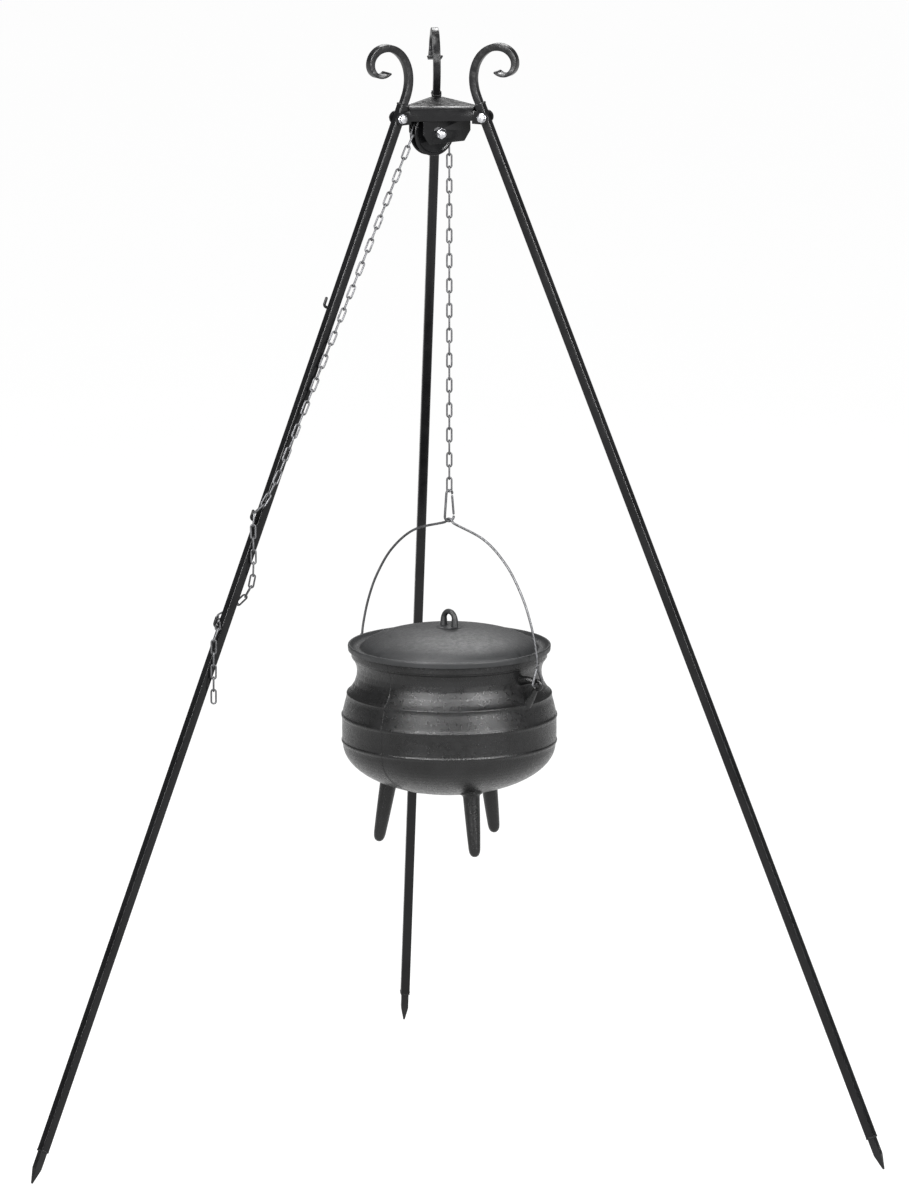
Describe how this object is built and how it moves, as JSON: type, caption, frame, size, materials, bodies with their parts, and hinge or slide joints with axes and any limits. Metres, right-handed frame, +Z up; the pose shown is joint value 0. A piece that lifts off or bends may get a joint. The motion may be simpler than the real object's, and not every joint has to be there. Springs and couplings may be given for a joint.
{
  "type": "campfire tripod with hanging pot",
  "caption": "Folding campfire tripod with scrolled legs, a chain pulley in its head and a cast three-legged pot hung by its bail.",
  "frame": {"origin": "on the ground, in the middle of the bounding box; the head's middle is 0.199 m in front of it, toward -Y", "axes": "+Z up; the back leg reaches along +Y; +X is to the right of someone who faces the pot from the two front legs' side"},
  "size_m": [1.3896, 1.2044, 1.804],
  "materials": {
    "black_paint": "semi-gloss black paint",
    "cast_iron": "black seasoned casting, fine grain",
    "zinc": "bright zinc plate"
  },
  "bodies": {
    "head": {"top_plate": "black_paint", "side_plate_front": "black_paint", "side_plate_left": "black_paint", "side_plate_right": "black_paint", "cheek_front": "black_paint", "cheek_rear": "black_paint", "axle_bolt": "zinc", "axle_nut": "zinc", "axle_spacer_front": "zinc", "axle_spacer_rear": "zinc", "leg_bolt_left": "zinc", "leg_bolt_right": "zinc", "leg_bolt_back": "zinc", "leg_nut_left": "zinc", "leg_nut_right": "zinc", "leg_nut_back": "zinc", "chain_over_wheel": "zinc", "chain_slack": "zinc"},
    "leg_left": {"leg_tube_left": "black_paint", "scroll_left": "black_paint", "spike_left": "black_paint", "chain_hook_upper": "black_paint", "chain_hook_middle": "black_paint", "chain_hook_lower": "black_paint", "chain_loop": "zinc", "chain_tail": "zinc"},
    "leg_right": {"leg_tube_right": "black_paint", "scroll_right": "black_paint", "spike_right": "black_paint"},
    "leg_back": {"leg_tube_back": "black_paint", "scroll_back": "black_paint", "spike_back": "black_paint"},
    "wheel": {"pulley_wheel": "black_paint"},
    "pot_chain": {"chain_hanging": "zinc"},
    "pot_hanger": {"snap_hook": "zinc", "bail": "zinc"},
    "hook_gate": {"snap_gate": "zinc"},
    "pot": {"pot": "cast_iron"},
    "lid": {"pot_lid": "cast_iron"}
  },
  "joints": [
    {"name": "leg_left_fold", "type": "hinge", "parent": "head", "child": "leg_left", "pos_m": [-0.07015, -0.23964, 1.68059], "axis": [-0.5, 0.866, 0], "range_deg": [-12, 0], "deforming": ["chain_slack"]},
    {"name": "leg_right_fold", "type": "hinge", "parent": "head", "child": "leg_right", "pos_m": [0.07015, -0.23964, 1.68059], "axis": [-0.5, -0.866, 0], "range_deg": [-12, 0]},
    {"name": "leg_back_fold", "type": "hinge", "parent": "head", "child": "leg_back", "pos_m": [0, -0.11814, 1.68059], "axis": [1, 0, 0], "range_deg": [-12, 0]},
    {"name": "wheel_spin", "type": "hinge", "parent": "head", "child": "wheel", "pos_m": [-0.01264, -0.20644, 1.65259], "axis": [0.5, -0.866, 0], "continuous": true},
    {"name": "pot_swing", "type": "hinge", "parent": "head", "child": "pot_chain", "pos_m": [0.01628, -0.18974, 1.65259], "axis": [0.5, -0.866, 0], "range_deg": [-3, 3]},
    {"name": "pot_hoist", "type": "slide", "parent": "pot_chain", "child": "pot_hanger", "axis": [0, 0, 1], "range_m": [0, 0.3], "deforming": ["chain_hanging"]},
    {"name": "hook_gate_open", "type": "hinge", "parent": "pot_hanger", "child": "hook_gate", "pos_m": [0.02378, -0.18701, 1.01485], "axis": [0.342, -0.9397, 0], "range_deg": [0, 9], "stiffness_Nm_per_rad": 0.01},
    {"name": "pot_tilt", "type": "hinge", "parent": "pot_hanger", "child": "pot", "pos_m": [0.01628, -0.18974, 0.75429], "axis": [-0.7254, 0.6884, 0], "range_deg": [-30, 30]},
    {"name": "lid_lift", "type": "slide", "parent": "pot", "child": "lid", "axis": [0.4867, 0.5129, 0.7071], "range_m": [0, 0.24]}
  ],
  "couplings": [
    {"joint": "wheel_spin", "follows": "pot_hoist", "rad_per_m": 29.94}
  ]
}
